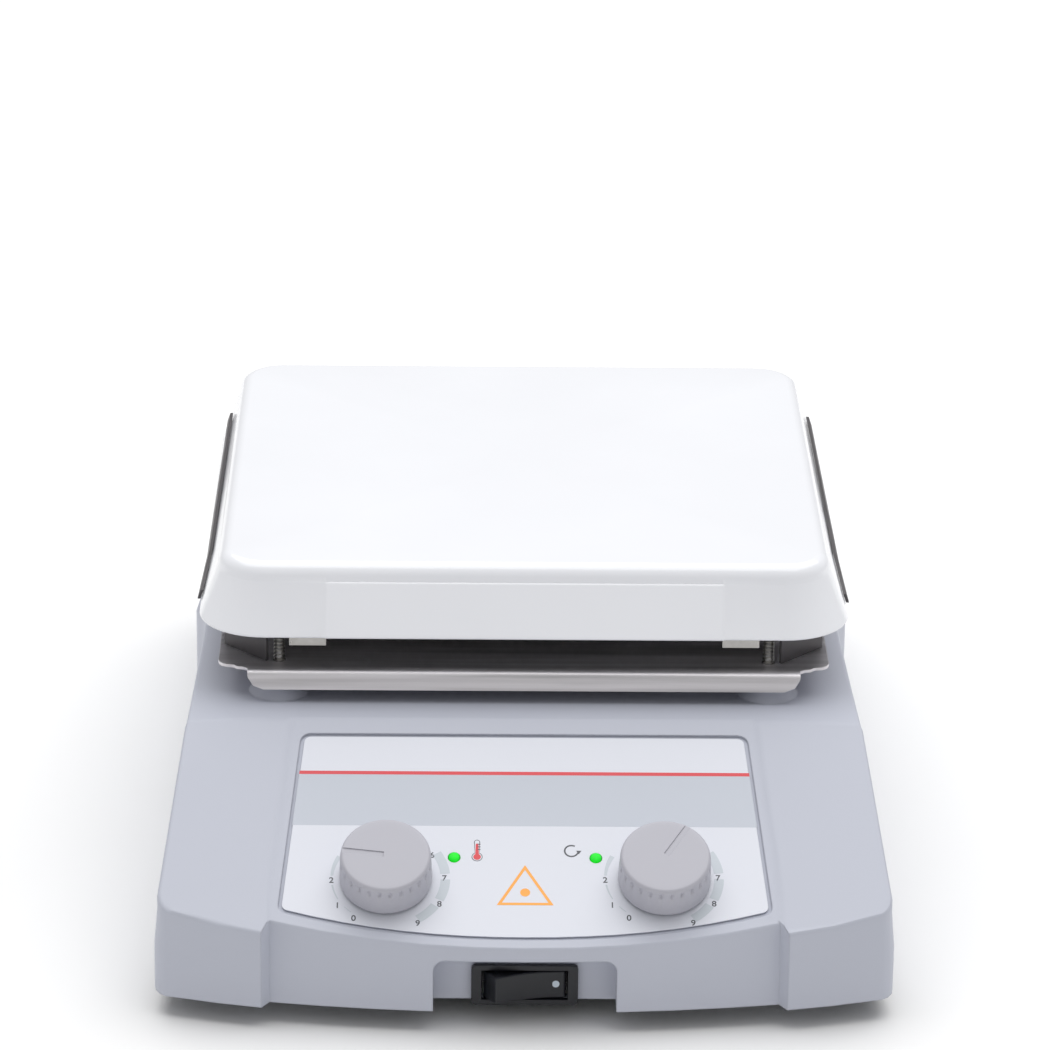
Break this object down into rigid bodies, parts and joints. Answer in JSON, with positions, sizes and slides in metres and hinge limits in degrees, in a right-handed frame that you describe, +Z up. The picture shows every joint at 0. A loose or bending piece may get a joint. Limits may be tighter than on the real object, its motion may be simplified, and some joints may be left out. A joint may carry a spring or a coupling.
{
  "type": "magnetic stirrer",
  "caption": "Ceramic-top hotplate magnetic stirrer with sloped control panel, two turning knobs, a rocker switch and a magnet rotor under the plate.",
  "frame": {"origin": "on the bench, under the middle of the housing", "axes": "+X to the right of someone facing the controls, +Y to the back, +Z up"},
  "size_m": [0.2218, 0.33, 0.112],
  "materials": {
    "housing": "fine textured",
    "base_plate": "satin",
    "top_plate": "glossy",
    "heater_element": "matt",
    "insulation_pad": "fibrous",
    "heater_pan": "dark, matt",
    "heat_shield": "brushed",
    "temperature_sensor": "plain",
    "panel_overlay": "satin film",
    "control_board": "lacquered",
    "power_board": "lacquered",
    "heat_sink": "anodised",
    "motor": "satin",
    "motor_bracket": "brushed",
    "motor_shaft": "ground",
    "magnet_carrier": "machined",
    "mains_inlet": "moulded",
    "fuse_holder": "moulded",
    "transformer": "varnished",
    "terminal_block": "unglazed",
    "switch_frame": "satin",
    "switch_rocker": "satin",
    "knob_temperature": "satin",
    "potentiometer_temperature": "plated",
    "shaft_temperature": "turned",
    "nut_temperature": "plated",
    "led_temperature": "clear",
    "knob_speed": "satin",
    "potentiometer_speed": "plated",
    "shaft_speed": "turned",
    "nut_speed": "plated",
    "led_speed": "clear",
    "base_screw_front_left": "brushed",
    "foot_front_left": "matt",
    "plate_post_front_left": "brushed",
    "plate_clip_front_left": "brushed",
    "motor_mount_front_left": "matt",
    "base_screw_front_right": "brushed",
    "foot_front_right": "matt",
    "plate_post_front_right": "brushed",
    "plate_clip_front_right": "brushed",
    "motor_mount_front_right": "matt",
    "base_screw_rear_left": "brushed",
    "foot_rear_left": "matt",
    "plate_post_rear_left": "brushed",
    "plate_clip_rear_left": "brushed",
    "motor_mount_rear_left": "matt",
    "base_screw_rear_right": "brushed",
    "foot_rear_right": "matt",
    "plate_post_rear_right": "brushed",
    "plate_clip_rear_right": "brushed",
    "motor_mount_rear_right": "matt",
    "side_strip_left": "brushed",
    "magnet_left": "sintered",
    "side_strip_right": "brushed",
    "magnet_right": "sintered"
  },
  "bodies": {
    "stirrer_base": {"housing": "housing", "base_plate": "base_plate", "top_plate": "top_plate", "heater_element": "heater_element", "insulation_pad": "insulation_pad", "heater_pan": "heater_pan", "heat_shield": "heat_shield", "temperature_sensor": "temperature_sensor", "panel_overlay": "panel_overlay", "control_board": "control_board", "power_board": "power_board", "heat_sink": "heat_sink", "motor": "motor", "motor_bracket": "motor_bracket", "mains_inlet": "mains_inlet", "fuse_holder": "fuse_holder", "transformer": "transformer", "terminal_block": "terminal_block", "switch_frame": "switch_frame", "potentiometer_temperature": "potentiometer_temperature", "nut_temperature": "nut_temperature", "led_temperature": "led_temperature", "potentiometer_speed": "potentiometer_speed", "nut_speed": "nut_speed", "led_speed": "led_speed", "base_screw_front_left": "base_screw_front_left", "foot_front_left": "foot_front_left", "plate_post_front_left": "plate_post_front_left", "plate_clip_front_left": "plate_clip_front_left", "motor_mount_front_left": "motor_mount_front_left", "base_screw_front_right": "base_screw_front_right", "foot_front_right": "foot_front_right", "plate_post_front_right": "plate_post_front_right", "plate_clip_front_right": "plate_clip_front_right", "motor_mount_front_right": "motor_mount_front_right", "base_screw_rear_left": "base_screw_rear_left", "foot_rear_left": "foot_rear_left", "plate_post_rear_left": "plate_post_rear_left", "plate_clip_rear_left": "plate_clip_rear_left", "motor_mount_rear_left": "motor_mount_rear_left", "base_screw_rear_right": "base_screw_rear_right", "foot_rear_right": "foot_rear_right", "plate_post_rear_right": "plate_post_rear_right", "plate_clip_rear_right": "plate_clip_rear_right", "motor_mount_rear_right": "motor_mount_rear_right", "side_strip_left": "side_strip_left", "side_strip_right": "side_strip_right"},
    "temperature_knob": {"knob_temperature": "knob_temperature", "shaft_temperature": "shaft_temperature"},
    "speed_knob": {"knob_speed": "knob_speed", "shaft_speed": "shaft_speed"},
    "rocker": {"switch_rocker": "switch_rocker"},
    "rotor": {"motor_shaft": "motor_shaft", "magnet_carrier": "magnet_carrier", "magnet_left": "magnet_left", "magnet_right": "magnet_right"}
  },
  "joints": [
    {"name": "temperature_knob_turn", "type": "hinge", "parent": "stirrer_base", "child": "temperature_knob", "pos_m": [-0.0417, -0.14187, 0.0401], "axis": [0, -0.4695, 0.8829], "range_deg": [-234, 65]},
    {"name": "speed_knob_turn", "type": "hinge", "parent": "stirrer_base", "child": "speed_knob", "pos_m": [0.0417, -0.14187, 0.0401], "axis": [0, -0.4695, 0.8829], "range_deg": [-119, 180]},
    {"name": "rocker_tilt", "type": "hinge", "parent": "stirrer_base", "child": "rocker", "pos_m": [0, -0.1535, 0.0124], "axis": [0, 0, 1], "range_deg": [-14, 0]},
    {"name": "rotor_spin", "type": "hinge", "parent": "stirrer_base", "child": "rotor", "pos_m": [0, 0.0256, 0.06], "axis": [0, 0, 1], "continuous": true}
  ]
}
